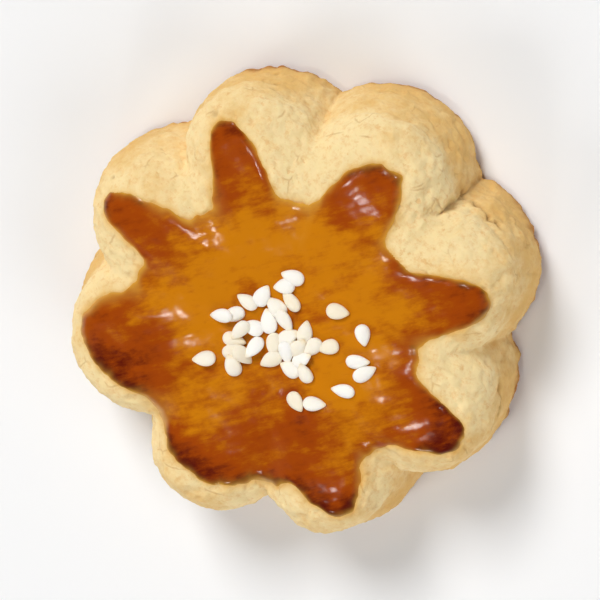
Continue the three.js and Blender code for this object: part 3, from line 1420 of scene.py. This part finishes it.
@dataclass(frozen=True)
class Section:
    """The dough's section around the flower, each value by ring and step around.

    Attributes:
        angle: Angle around the flower.
        radius: Distance from the middle.
        height: Height over the base.
        facing: Turn of the surface from sideways to upwards.
        lumpiness: Share of the lumps.
        on_base: One on the base, nought elsewhere.
    """

    angle: Array
    radius: Array
    height: Array
    facing: Array
    lumpiness: Array
    on_base: Array


@dataclass
class Biscuit:
    """The dough: base, foot, wall, shoulder and top as one closed surface with crumb and pits.

    Attributes:
        top_crowding: Power that crowds the top's rings towards the shoulder.
        small_lumps: Noise of the lumps that are larger than crumb.
        creases: Noise whose zeros are the creases.
        crease_level: Size of that noise that stays in place.
        creased: Noise that picks where creases are.
        creased_over: Values of it over which creases come in.
        pit_shade: Painted shade in the deepest pits, as a share of that in a split.
        under_glaze: How far the dough lies below the smooth top where glaze covers it.
        glaze_margin: Ways inside the glaze's edge over which the dough goes under the film.
        off_top: Way inside that edge that stands for all places off the top.
        base_hollow: How far the middle of the base is lifted.
        hidden_bake: Browning at the top's middle, under the glaze.
        soak: Stain beside the glaze.
    """

    dough: Dough
    steps: int = 768
    base_rings: int = 16
    foot_rings: int = 8
    wall_rings: int = 42
    shoulder_rings: int = 36
    top_rings: int = 26
    top_crowding: float = 1.6
    crumb: Grain = Grain(0.9, 3, 5, 0.15)
    small_lumps: Grain = Grain(3.2, 2, 9, 0.13)
    creases: Grain = Grain(2.6, 4, 57)
    crease_height: float = 0.28
    crease_level: float = 0.3
    creased: Grain = Grain(7.0, 2, 59)
    creased_over: Span = (-0.3, 0.6)
    pits: Pits = Pits(1.5, 31, share=0.05, depth=0.22, radii=(0.15, 0.5))
    pit_shade: float = 0.55
    under_glaze: float = 0.16
    glaze_margin: Span = (-0.25, 0.35)
    off_top: float = -9.0
    base_hollow: float = 0.02
    hidden_bake: float = 0.3
    bake: DoughBake = DoughBake()
    soak: EdgeFade = EdgeFade(0.7, (0.25, 0.6), 0.1, Grain(2.0, 3, 53, 0.8))

    def joined(self, *stretches: Array) -> Array:
        """Put the rings of the section's stretches one after another, each spread to all the steps."""
        return np.concatenate([np.broadcast_to(rings, (len(rings), self.steps)) for rings in stretches])

    def section(self) -> Section:
        """Work out the section's stretches around the flower.

        The base runs level to the foot, the foot is a quarter round, the wall goes up through flowers of
        changing reach and round, and the shoulder and the top follow the top's height. The top's rings crowd
        towards the shoulder, by a power of their share.

        Returns:
            The section.
        """
        flower = self.dough.flower
        angle = flower.stepped_angles(self.steps)[None, :]
        foot_radius = flower.wall_radius(angle, 0.0)
        rim = flower.wall_radius(angle, 1.0)
        width = flower.shoulder_width(angle)
        counts = (self.base_rings, self.foot_rings, self.wall_rings, self.shoulder_rings, self.top_rings)
        base, foot, wall, shoulder, top = ((np.arange(count) + 1.0)[:, None] / count for count in counts)
        foot_turn = foot * QUARTER_TURN
        shoulder_turn = shoulder * QUARTER_TURN
        top = top[:-1] ** self.top_crowding
        shoulder_radius = rim - width * (1.0 - np.cos(shoulder_turn))
        top_radius = (rim - width) * (1.0 - top)
        radius = self.joined(
            base * (foot_radius - flower.foot_round),
            foot_radius - flower.foot_round * (1.0 - np.sin(foot_turn)),
            flower.wall_radius(angle, wall),
            shoulder_radius,
            top_radius,
        )
        height = self.joined(
            0.0 * base,
            flower.foot_round * (1.0 - np.cos(foot_turn)),
            between(flower.foot_round, flower.wall_top, wall),
            flower.top_height(shoulder_radius, angle),
            flower.top_height(top_radius, angle),
        )
        facing = self.joined(0.0 * base, 0.0 * foot, 0.0 * wall, shoulder_turn, QUARTER_TURN + 0.0 * top)
        lumpiness = self.joined(0.0 * base, foot, 1.0 + 0.0 * wall, 1.0 + 0.0 * shoulder, 1.0 + 0.0 * top)
        on_base = self.joined(1.0 + 0.0 * base, 0.0 * foot, 0.0 * wall, 0.0 * shoulder, 0.0 * top)
        return Section(np.broadcast_to(angle, radius.shape), radius, height, facing, lumpiness, on_base)

    def relief(self, points: Array, on_base: Array) -> Array:
        """Give how far crumb, small lumps and creases move the surface out.

        A crease is the sharp valley of the size of a noise, where the noise is nought, and a slow noise picks
        where there are creases. On the base it all goes inwards.

        Args:
            points: Points of the surface.
            on_base: One on the base, nought elsewhere.

        Returns:
            Millimetres.
        """
        creased = ease_between(*self.creased_over, self.creased.at(points))
        creases = self.crease_height * creased * (np.abs(self.creases.at(points)) - self.crease_level)
        relief = self.crumb.at(points) + self.small_lumps.at(points) + creases
        return np.where(on_base > 0.0, -np.abs(relief), relief)

    def build(self, material: bpy.types.Material) -> bpy.types.Object:
        """Build and dress the dough.

        Lumps move the section out along its facing. Relief, pits and splits then move the surface along its
        normal, and fade out under the glaze, where the dough is lowered to stay below the film.

        Args:
            material: Finish of the dough.

        Returns:
            The finished piece.
        """
        dough = self.dough
        cut = self.section()
        lump = cut.lumpiness * dough.lumps.at(upright(cut.radius, cut.angle, cut.height))
        out, up = lump * np.cos(cut.facing), lump * np.sin(cut.facing)
        rings = upright(cut.radius + out, cut.angle, cut.height + up)
        normal = ClosedGrid.normals(rings)
        notch = dough.flower.notch_at(cut.angle)
        cover = np.where(cut.facing > 0.0, dough.glaze_edge.cover_at(cut.radius, cut.angle), self.off_top)
        covered = ease_between(*self.glaze_margin, cover)
        bare = (1.0 - cut.on_base) * (1.0 - covered)
        splits, lips = (bare * value for value in dough.splits.at(cut.angle, cut.height, rings))
        pits = self.pits.at(rings)
        depth = self.pits.depth * pits + dough.splits.depth * splits + dough.splits.lip_depth * lips
        move = (self.relief(rings, cut.on_base) - depth) * (1.0 - covered) - self.under_glaze * covered
        rings = rings + normal * move[..., None]
        rings[..., 2] = np.maximum(rings[..., 2], 0.0)
        nought = np.zeros(1)
        low_pole = upright(nought, nought, self.base_hollow) - dough.middle
        centre = dough.top_surface(nought, nought) - self.under_glaze
        high_pole = upright(nought, nought, centre) - dough.middle
        grid = ClosedGrid("biscuit_dough", (rings - dough.middle)[None], low_pole, high_pole)
        bake = self.bake.at(cut.height, notch, rings, cut.on_base)
        base_bake = self.bake.at(nought, nought, np.zeros((1, 3)), np.ones(1))
        grid.carry(Layer.BAKE, bake[None], base_bake, self.hidden_bake)
        # Painted shade in the open splits and in the pits.
        grid.carry(Layer.SPLIT, np.clip(splits + self.pit_shade * pits**2, 0.0, 1.0)[None], 0.0, 0.0)
        grid.carry(Layer.SOAK, self.soak.at(np.maximum(-cover, 0.0), notch, rings)[None], 0.0, 1.0)
        return grid.finish_piece(material)


@dataclass(frozen=True)
class GlazeBake:
    """How brown the oven leaves the glaze, from 0 for amber to 1 for burnt.

    Attributes:
        least: Browning in the middle.
        outward: Browning further out, and the radii over which it comes in.
        lobe_ends: Browning on the ends of the lobes, and the radii over which it comes in.
        notch_loss: Share of the lobe ends' browning that is lost in the notches.
        rim: Browning along the edge, with the way in to its middle and its width.
        side_darkening: Darker towards one side and paler towards the other, as a cosine around.
        darker_way: Way to the darker side.
        patches: Slow patches.
        specks: Small patches.
        strokes: Strokes of the brush.
    """

    least: float = 0.12
    outward: float = 0.2
    outward_over: Span = (6.0, 17.0)
    lobe_ends: float = 0.34
    lobe_ends_over: Span = (13.5, 20.0)
    notch_loss: float = 0.7
    rim: float = 0.14
    rim_from_edge: float = 0.3
    rim_width: float = 0.6
    side_darkening: float = 0.18
    side_darkening_over: Span = (2.0, 18.0)
    darker_way: float = math.radians(135.0)
    patches: Grain = Grain(7.0, 3, 83, 0.2)
    specks: Grain = Grain(1.7, 3, 85, 0.1)
    strokes: Grain = Grain(2.0, 3, 89, 0.08)

    def at(self, radius: Array, angle: Array, dough: Dough) -> Array:
        """Add up the browning: smooth steps outwards, a bell along the edge, a cosine around, and noise.

        Args:
            radius: Distance from the middle.
            angle: Angle around the flower.
            dough: What the glaze lies on.

        Returns:
            Values between 0 and 1.
        """
        points = upright(radius, angle, 0.0)
        outward = self.outward * ease_between(*self.outward_over, radius)
        on_lobe = 1.0 - self.notch_loss * dough.flower.notch_at(angle)
        lobe_ends = self.lobe_ends * ease_between(*self.lobe_ends_over, radius) * on_lobe
        cover = dough.glaze_edge.cover_at(radius, angle)
        rim = self.rim * bell(cover, self.rim_from_edge, self.rim_width)
        # Darker towards one side and paler towards the other.
        side_darkening = self.side_darkening * np.cos(angle - self.darker_way) * ease_between(*self.side_darkening_over, radius)
        patches = self.patches.at(points) + self.specks.at(points)
        strokes = self.strokes.at(brushed(points))
        return np.clip(self.least + outward + lobe_ends + rim + side_darkening + patches + strokes, 0.0, 1.0)


@dataclass
class EggGlaze:
    """The brushed film on the top: a bead along its edge, brush marks and browned lobe ends.

    Attributes:
        edge_ease: Way in from the edge over which the film rises.
        edge_sunk: How far the film's very edge is below the top.
        sunk_below: How far the film's underside is below the top.
        hidden_bake: Browning at the middle of the underside.
        thin: Pale tint where the film runs out.
    """

    dough: Dough
    steps: int = 720
    top_rings: int = 108
    under_rings: int = 8
    thickness: float = 0.11
    edge_ease: float = 0.4
    edge_sunk: float = 0.06
    bead: float = 0.02
    bead_from_edge: float = 0.8
    bead_width: float = 0.5
    brush_marks: Grain = Grain(1.1, 3, 71, 0.02)
    unevenness: Grain = Grain(4.5, 2, 73, 0.045)
    ripple: Grain = Grain(1.3, 2, 79, 0.03)
    sunk_below: float = 0.4
    hidden_bake: float = 0.2
    bake: GlazeBake = GlazeBake()
    thin: EdgeFade = EdgeFade(0.8, (0.2, 0.6), 0.08, Grain(2.4, 3, 97, 0.8))

    def film(self, radius: Array, angle: Array) -> Array:
        """Give the thickness of the film over the lumpy top.

        It rises from its edge as one less a falling exponential, with a bell for the bead, slow
        unevenness, fine ripples, and brush marks as noise drawn out along the brush's way.

        Args:
            radius: Distance from the middle.
            angle: Angle around the flower.

        Returns:
            Thickness in millimetres, a little below nought at the very edge.
        """
        cover = np.maximum(self.dough.glaze_edge.cover_at(radius, angle), 0.0)
        edge = 1.0 - np.exp(-cover / self.edge_ease)
        bead = self.bead * bell(cover, self.bead_from_edge, self.bead_width)
        points = upright(radius, angle, 0.0)
        marks = self.brush_marks.at(brushed(points))
        uneven = self.unevenness.at(points) + self.ripple.at(points)
        return edge * (self.thickness + bead + marks + uneven) - self.edge_sunk * (1.0 - edge)

    def build(self, material: bpy.types.Material) -> bpy.types.Object:
        """Build and dress the film.

        Its rings run out along the underside, short of the edge, and back over the top, where they crowd
        towards the edge as a sine does.

        Args:
            material: Finish of the glaze.

        Returns:
            The finished piece.
        """
        dough = self.dough
        angle = dough.flower.stepped_angles(self.steps)[None, :]
        edge = dough.glaze_edge.radius_at(angle)
        over = np.sin(QUARTER_TURN * (np.arange(self.top_rings) + 1.0) / self.top_rings)[::-1, None]
        under = ((np.arange(self.under_rings) + 1.0) / (self.under_rings + 0.5))[:, None]
        radius = np.concatenate([under, over]) * edge
        below = (np.arange(len(radius)) < self.under_rings)[:, None]
        radius, angle = dough.glaze_edge.ragged(radius, angle, Shift.OUT)
        rise = np.where(below, -self.sunk_below, self.film(radius, angle))
        rings = upright(radius, angle, dough.top_surface(radius, angle) + rise)
        middle = dough.glaze_edge.ragged(np.zeros(1), np.zeros(1), Shift.OUT)
        top = dough.top_surface(*middle)
        low_pole = upright(*middle, top - self.sunk_below) - dough.middle
        high_pole = upright(*middle, top + self.film(*middle)) - dough.middle
        grid = ClosedGrid("egg_glaze", (rings - dough.middle)[None], low_pole, high_pole)
        bake = self.bake.at(radius, angle, dough)
        grid.carry(Layer.BAKE, bake[None], self.hidden_bake, self.bake.at(*middle, dough))
        cover = np.maximum(dough.glaze_edge.cover_at(radius, angle), 0.0)
        grid.carry(Layer.THIN, self.thin.at(cover, dough.flower.notch_at(angle), rings)[None], 0.0, 0.0)
        return grid.finish_piece(material)


@dataclass
class Seed:
    """Where one seed lies: its middle, its turn, its lean along its length and its roll."""

    x: float
    y: float
    z: float
    yaw: float
    pitch: float
    roll: float


@dataclass
class SesameSeeds:
    """Seeds dropped on a patch beside the middle, where they lie in the glaze or on each other.

    Attributes:
        taper: How much a seed narrows towards its tip.
        point: How much more it narrows near the tip.
        point_from: Where along it, from -1 to 1, that starts.
        apart: Least distance between two seeds' middles.
        rest: Where along a seed its two supports are, as a share of its length.
        lift: Height of a seed's middle over them, as a share of its thickness.
        nest: How far a seed sinks into one below it, as a share of its thickness.
        crowding: Power that crowds the seeds towards the middle of the patch.
        shades: Least and greatest toasting of a whole seed.
        tip_shade: More toasting at the tip.
        tip_from: Where along a seed that starts.
    """

    dough: Dough
    length: float = 2.5
    width: float = 1.55
    thickness: float = 0.82
    taper: float = 0.3
    point: float = 0.14
    point_from: float = 0.2
    first_draw: int = 75348
    count: int = 36
    tries: int = 4000
    apart: float = 1.05
    rest: float = 0.3
    lift: float = 0.35
    nest: float = 0.2
    most_roll: float = math.radians(18.0)
    steepest: float = math.radians(28.0)
    patch_long: float = 10.0
    patch_short: float = 7.2
    patch_turn: float = math.radians(45.0)
    patch_middle: Span = (-1.6, 1.3)
    crowding: float = 0.75
    smallest: float = 0.9
    largest: float = 1.06
    shades: Span = (0.0, 0.4)
    tip_shade: float = 0.45
    tip_from: float = 0.55
    look_seed: int = 19
    rings: int = 17
    steps: int = 24
    seeds: list[Seed] = field(default_factory=list)

    def top_at(self, x: float, y: float) -> float:
        """Give the height of the lumpy top at a place."""
        return float(self.dough.top_surface(np.array([math.hypot(x, y)]), np.array([math.atan2(y, x)]))[0])

    def seed_support(self, seed: Seed, x: float, y: float) -> float:
        """Give the height that a seed already there offers over a place.

        Args:
            seed: The seed that lies there.
            x: Place along X.
            y: Place along Y.

        Returns:
            The seed's height there less the part that nests, or minus infinity beside it.
        """
        east, north = x - seed.x, y - seed.y
        along = east * math.cos(seed.yaw) + north * math.sin(seed.yaw)
        across = north * math.cos(seed.yaw) - east * math.sin(seed.yaw)
        spread = (along / (self.length / 2.0)) ** 2 + (across / (self.width / 2.0)) ** 2
        if spread >= 1.0:
            return -math.inf
        bulge = self.thickness * (0.5 * math.sqrt(1.0 - spread) - self.nest)
        return seed.z - along * math.tan(seed.pitch) + bulge

    def support_at(self, x: float, y: float) -> float:
        """Give the height that a dropped seed would touch: the top, or a seed already there."""
        return max([self.top_at(x, y)] + [self.seed_support(seed, x, y) for seed in self.seeds])

    def resting(self, x: float, y: float, yaw: float, roll: float) -> Seed:
        """Let a seed come to rest on what lies under its two ends.

        Args:
            x: Place along X.
            y: Place along Y.
            yaw: Turn about the upright.
            roll: Roll about its length.

        Returns:
            The seed, leaning along the line between its two supports.
        """
        reach = self.rest * self.length
        ahead = self.support_at(x + reach * math.cos(yaw), y + reach * math.sin(yaw))
        behind = self.support_at(x - reach * math.cos(yaw), y - reach * math.sin(yaw))
        pitch = math.atan2(behind - ahead, 2.0 * reach)
        return Seed(x, y, (ahead + behind) / 2.0 + self.lift * self.thickness, yaw, pitch, roll)

    def sprinkle(self) -> None:
        """Drop the seeds one after another, without those that land on a middle or too steeply."""
        draws = SeededDraws(self.first_draw)
        cosine, sine = math.cos(self.patch_turn), math.sin(self.patch_turn)
        for _ in range(self.tries):
            turn = FULL_TURN * draws.draw()
            reach = draws.draw() ** self.crowding
            far, near = self.patch_long * math.cos(turn) * reach, self.patch_short * math.sin(turn) * reach
            x = far * cosine - near * sine + self.patch_middle[0]
            y = far * sine + near * cosine + self.patch_middle[1]
            yaw = FULL_TURN * draws.draw()
            roll = self.most_roll * between(-1.0, 1.0, draws.draw())
            seed = self.resting(x, y, yaw, roll)
            clear = all(math.hypot(x - other.x, y - other.y) > self.apart for other in self.seeds)
            if clear and abs(seed.pitch) < self.steepest:
                self.seeds.append(seed)
            if len(self.seeds) == self.count:
                break

    @staticmethod
    def turned(axis: Axis, angle: Array) -> Array:
        """Give matrices that turn about an axis.

        Args:
            axis: Axis to turn about.
            angle: Angles to turn by.

        Returns:
            One matrix for each angle.
        """
        first, second = (axis + 1) % 3, (axis + 2) % 3
        matrix = np.zeros((len(angle), 3, 3))
        matrix[:, axis, axis] = 1.0
        matrix[:, first, first] = np.cos(angle)
        matrix[:, second, second] = np.cos(angle)
        matrix[:, second, first] = np.sin(angle)
        matrix[:, first, second] = -np.sin(angle)
        return matrix

    def turns(self) -> Array:
        """Give each seed's turning as a matrix: roll about its length, then lean, then turn."""
        roll, pitch, yaw = np.array([[seed.roll, seed.pitch, seed.yaw] for seed in self.seeds]).T
        return self.turned(Axis.Z, yaw) @ self.turned(Axis.Y, pitch) @ self.turned(Axis.X, roll)

    def build(self, material: bpy.types.Material) -> bpy.types.Object:
        """Build and dress all the seeds as one joined mesh.

        A seed is a ball stretched along X whose girth narrows evenly, and faster near the tip. Each one is
        then a little smaller or larger along its length, its width and its thickness.

        Args:
            material: Finish of the seeds.

        Returns:
            The finished piece.
        """
        self.sprinkle()
        way = math.pi * (np.arange(self.rings) + 1.0) / (self.rings + 1.0)
        around = FULL_TURN * np.arange(self.steps) / self.steps
        along = -np.cos(way)[:, None] + 0.0 * around
        narrowing = self.taper * along + self.point * ease_between(self.point_from, 1.0, along)
        girth = np.sin(way)[:, None] * (1.0 - narrowing)
        shape = np.stack([along, girth * np.cos(around), girth * np.sin(around)], axis=-1)
        half_sizes = np.array([self.length, self.width, self.thickness]) / 2.0
        turns = self.turns()
        middles = np.array([[seed.x, seed.y, seed.z] for seed in self.seeds]) - self.dough.middle
        looks = np.random.default_rng(self.look_seed)
        sizes = half_sizes * looks.uniform(self.smallest, self.largest, (len(self.seeds), 3))
        rings = np.einsum("sij,sraj->srai", turns, shape * sizes[:, None, None])
        ends = turns[:, :, 0] * sizes[:, :1]
        grid = ClosedGrid("sesame_seeds", rings + middles[:, None, None], middles - ends, middles + ends)
        shade = looks.uniform(*self.shades, len(self.seeds))
        tip = self.tip_shade * ease_between(self.tip_from, 1.0, along)
        grid.carry(Layer.BAKE, shade[:, None, None] + tip, shade, shade + self.tip_shade)
        LOG.info("%d seeds lie on the glaze", len(self.seeds))
        return grid.finish_piece(material)


# The studio


class Lamp(Enum):
    """The studio's soft lights: place and size in metres, power in watts, and whether gloss shows them."""

    KEY = ((1.10, -0.55, 1.26), 0.72, 21.0, False)
    FILL = ((-1.35, -0.15, 0.90), 1.20, 10.0, False)
    BACK = ((0.15, 1.50, 1.02), 0.90, 9.0, False)
    GLINT = ((0.06, 0.13, 1.64), 0.17, 2.2, True)
    SIDE_GLINT = ((1.00, -0.70, 0.95), 0.21, 1.8, True)
    BACK_GLINT = ((-0.80, 1.10, 0.85), 0.21, 1.8, True)

    def __init__(self, place: tuple[float, float, float], size: float, power: float, in_gloss: bool) -> None:
        """Name the four values.

        Args:
            place: Where the lamp hangs.
            size: Width of its disc.
            power: Power of its light.
            in_gloss: Whether gloss shows it.
        """
        self.place = Vector(place)
        self.size = size
        self.power = power
        self.in_gloss = in_gloss

    def hang(self) -> None:
        """Make the light and point it at the part."""
        data = bpy.data.lights.new(self.name.lower(), "AREA")
        data.shape = "DISK"
        data.size = self.size
        data.energy = self.power
        light = bpy.data.objects.new(self.name.lower(), data)
        light.location = self.place
        light.rotation_mode = "QUATERNION"
        light.rotation_quaternion = (-self.place).to_track_quat("-Z", "Y")
        light.visible_glossy = self.in_gloss
        bpy.context.scene.collection.objects.link(light)


@dataclass
class Studio:
    """Plain pale floor, soft lights and the camera at the photograph's viewing angle.

    Attributes:
        view_width: Width that the camera sees at the part, in metres.
        aim_height: Height that the camera looks at, in metres.
        floor_half: Half the floor's edge, in metres.
        horizon: Colour of the surroundings at the horizon.
        overhead: Colour of the surroundings above.
        horizon_over: Upward shares of a direction over which one turns into the other.
    """

    elevation: float = math.radians(69.0)
    roll: float = math.radians(-135.0)
    lens: float = 250.0
    sensor: float = 36.0
    view_width: float = 0.0605
    aim_height: float = 0.0062
    floor_half: float = 0.6
    floor_colour: Colour = (0.92, 0.92, 0.92, 1.0)
    floor_roughness: float = 0.7
    horizon: Colour = (0.86, 0.86, 0.87, 1.0)
    overhead: Colour = (0.06, 0.06, 0.062, 1.0)
    horizon_over: Span = (0.03, 0.2)

    def build(self) -> None:
        """Set up the floor, the lights, the surroundings and the camera."""
        self.lay_floor()
        for lamp in Lamp:
            lamp.hang()
        self.surround()
        self.place_camera()

    def lay_floor(self) -> None:
        """Lay a pale floor under the part."""
        half = self.floor_half
        corners = [(-half, -half, 0.0), (half, -half, 0.0), (half, half, 0.0), (-half, half, 0.0)]
        mesh = bpy.data.meshes.new("floor")
        mesh.from_pydata(corners, [], [(0, 1, 2, 3)])
        material = bpy.data.materials.new("pale_floor")
        material.use_nodes = True
        shader = material.node_tree.nodes["Principled BSDF"]
        shader.inputs["Base Color"].default_value = self.floor_colour
        shader.inputs["Roughness"].default_value = self.floor_roughness
        mesh.materials.append(material)
        floor = bpy.data.objects.new("floor", mesh)
        bpy.context.scene.collection.objects.link(floor)

    def surround(self) -> None:
        """Make the surroundings pale at the horizon and dim overhead."""
        world = bpy.data.worlds.new("studio")
        world.use_nodes = True
        bench = NodeBench(world.node_tree)
        way = bench.add("ShaderNodeTexCoord").outputs["Generated"]
        upward = bench.add("ShaderNodeSeparateXYZ", {"Vector": way}).outputs["Z"]
        colour = bench.blend(bench.ramp(upward, self.horizon_over), self.horizon, self.overhead)
        bench.feed(world.node_tree.nodes["Background"].inputs["Color"], colour)
        bpy.context.scene.world = world

    def place_camera(self) -> None:
        """Set the camera at the photograph's angle, rolled as the photograph is, with a long lens."""
        data = bpy.data.cameras.new("camera")
        data.lens = self.lens
        data.sensor_width = self.sensor
        away = self.view_width * self.lens / self.sensor
        back = Vector((0.0, -math.cos(self.elevation), math.sin(self.elevation)))
        camera = bpy.data.objects.new("camera", data)
        camera.rotation_mode = "QUATERNION"
        camera.location = Vector((0.0, 0.0, self.aim_height)) + back * away
        camera.rotation_quaternion = (-back).to_track_quat("-Z", "Y") @ Quaternion((0.0, 0.0, 1.0), self.roll)
        bpy.context.scene.collection.objects.link(camera)
        bpy.context.scene.camera = camera
        bpy.context.scene.view_settings.view_transform = "Standard"


def main() -> None:
    """Build the dough, the glaze, the seeds and the studio."""
    logging.basicConfig(level=logging.INFO, format="%(name)s: %(message)s")
    effects = SharedEffects()
    dough = Dough()
    Biscuit(dough).build(DoughFinish().material(effects))
    EggGlaze(dough).build(GlazeFinish().material(effects))
    SesameSeeds(dough).build(SeedFinish().material(effects))
    Studio().build()


if __name__ == "__main__":
    main()
